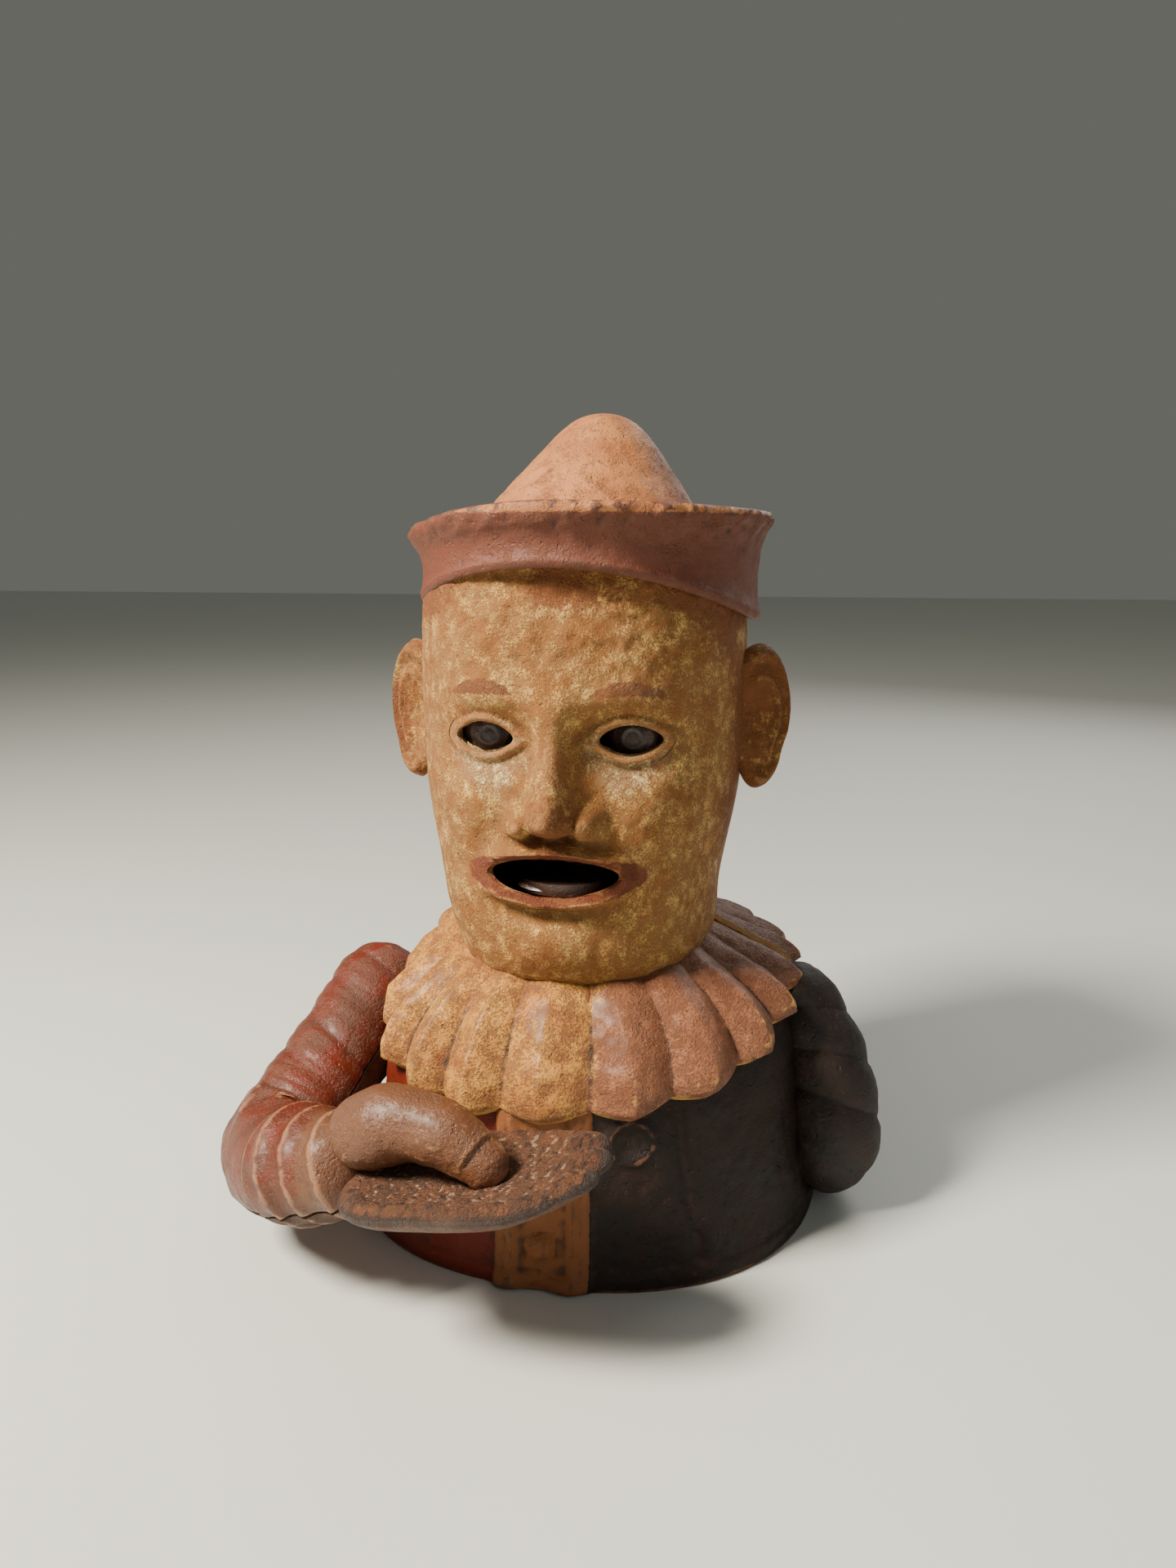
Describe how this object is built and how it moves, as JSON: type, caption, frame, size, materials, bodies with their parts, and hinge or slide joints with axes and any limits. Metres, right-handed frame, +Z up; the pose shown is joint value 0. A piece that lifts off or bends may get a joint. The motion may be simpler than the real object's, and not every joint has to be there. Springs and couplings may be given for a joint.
{
  "type": "mechanical bank",
  "caption": "Cast-iron clown bust coin bank: a thumb lever behind the neck lifts the hand to the mouth while the tongue tips and the eyes roll.",
  "frame": {"origin": "on the table, in the plane where the front and back castings meet, at the middle of the coat", "axes": "+X to the figure's left, +Y to its back, +Z up"},
  "size_m": [0.1414, 0.1464, 0.171],
  "materials": {
    "front_casting": "old oil paint over cast iron: cream face, ochre ruff, peach hat, red and black coat, rust coming through",
    "back_casting": "old dark paint over cast iron, worn to brown rust",
    "base_iron": "bare iron, brown with age",
    "screws": "slotted iron screw, rusted",
    "pins": "plain steel, dulled",
    "sleeve_paint": "worn red-brown paint over cast iron, glossy on the folds",
    "hand_iron": "worn grey-brown iron with scraps of red paint",
    "shaft_steel": "plain steel, dulled",
    "linkage_iron": "bare dark iron",
    "lever_iron": "worn black paint over iron",
    "tongue_paint": "dark red-brown paint, nearly black with dirt",
    "eye_paint": "dull dark painted iron",
    "washer_brass": "dull brass"
  },
  "bodies": {
    "bust": {"front_shell": "front_casting", "back_shell": "back_casting", "base_plate": "base_iron", "torso_screw": "screws", "head_screw": "screws", "base_screws": "screws", "tongue_pin": "pins", "trap_pivot_screw": "screws", "trap_washer": "washer_brass"},
    "arm": {"arm_outer_half": "sleeve_paint", "arm_inner_half": "hand_iron", "arm_rivets": "pins", "arm_shaft": "shaft_steel", "arm_retaining_screw": "screws", "shaft_crank": "linkage_iron", "crank_pin": "pins", "crank_setscrew": "pins", "thumb_lever": "lever_iron", "lever_setscrew": "pins"},
    "pull_rod": {"pull_rod": "linkage_iron"},
    "tongue": {"tongue": "tongue_paint", "tongue_tail_pin": "pins"},
    "eyes": {"eye_bar": "linkage_iron", "left_eye": "eye_paint", "right_eye": "eye_paint", "eye_tail_pin": "pins"},
    "eye_link": {"eye_link": "linkage_iron"},
    "trap": {"trap_cover": "base_iron"}
  },
  "joints": [
    {"name": "arm_lift", "type": "hinge", "parent": "bust", "child": "arm", "pos_m": [-0.05, 0, 0.044], "axis": [-1, 0, 0], "range_deg": [0, 45]},
    {"name": "pull_rod_eye", "type": "hinge", "parent": "arm", "child": "pull_rod", "pos_m": [-0.0045, 0.01109, 0.04859], "axis": [-1, 0, 0], "range_deg": [-45.5, 0.5]},
    {"name": "tongue_tip", "type": "hinge", "parent": "bust", "child": "tongue", "pos_m": [0, -0.028, 0.074], "axis": [-1, 0, 0], "range_deg": [-0.5, 34.5]},
    {"name": "eye_link_eye", "type": "hinge", "parent": "tongue", "child": "eye_link", "pos_m": [0.0045, -0.01298, 0.07859], "axis": [-1, 0, 0], "range_deg": [-34.5, 0.5]},
    {"name": "eye_roll", "type": "hinge", "parent": "bust", "child": "eyes", "pos_m": [0, -0.0236, 0.107], "axis": [-1, 0, 0], "range_deg": [-0.5, 28.5]},
    {"name": "trap_swing", "type": "hinge", "parent": "bust", "child": "trap", "pos_m": [0.0065, 0.011, 0.0036], "axis": [0, 0, 1], "range_deg": [0, 95]}
  ],
  "couplings": [
    {"joint": "pull_rod_eye", "follows": "arm_lift", "ratio": -1},
    {"joint": "tongue_tip", "follows": "arm_lift", "ratio": 0.75556},
    {"joint": "eye_link_eye", "follows": "arm_lift", "ratio": -0.75556},
    {"joint": "eye_roll", "follows": "arm_lift", "ratio": 0.62222}
  ]
}
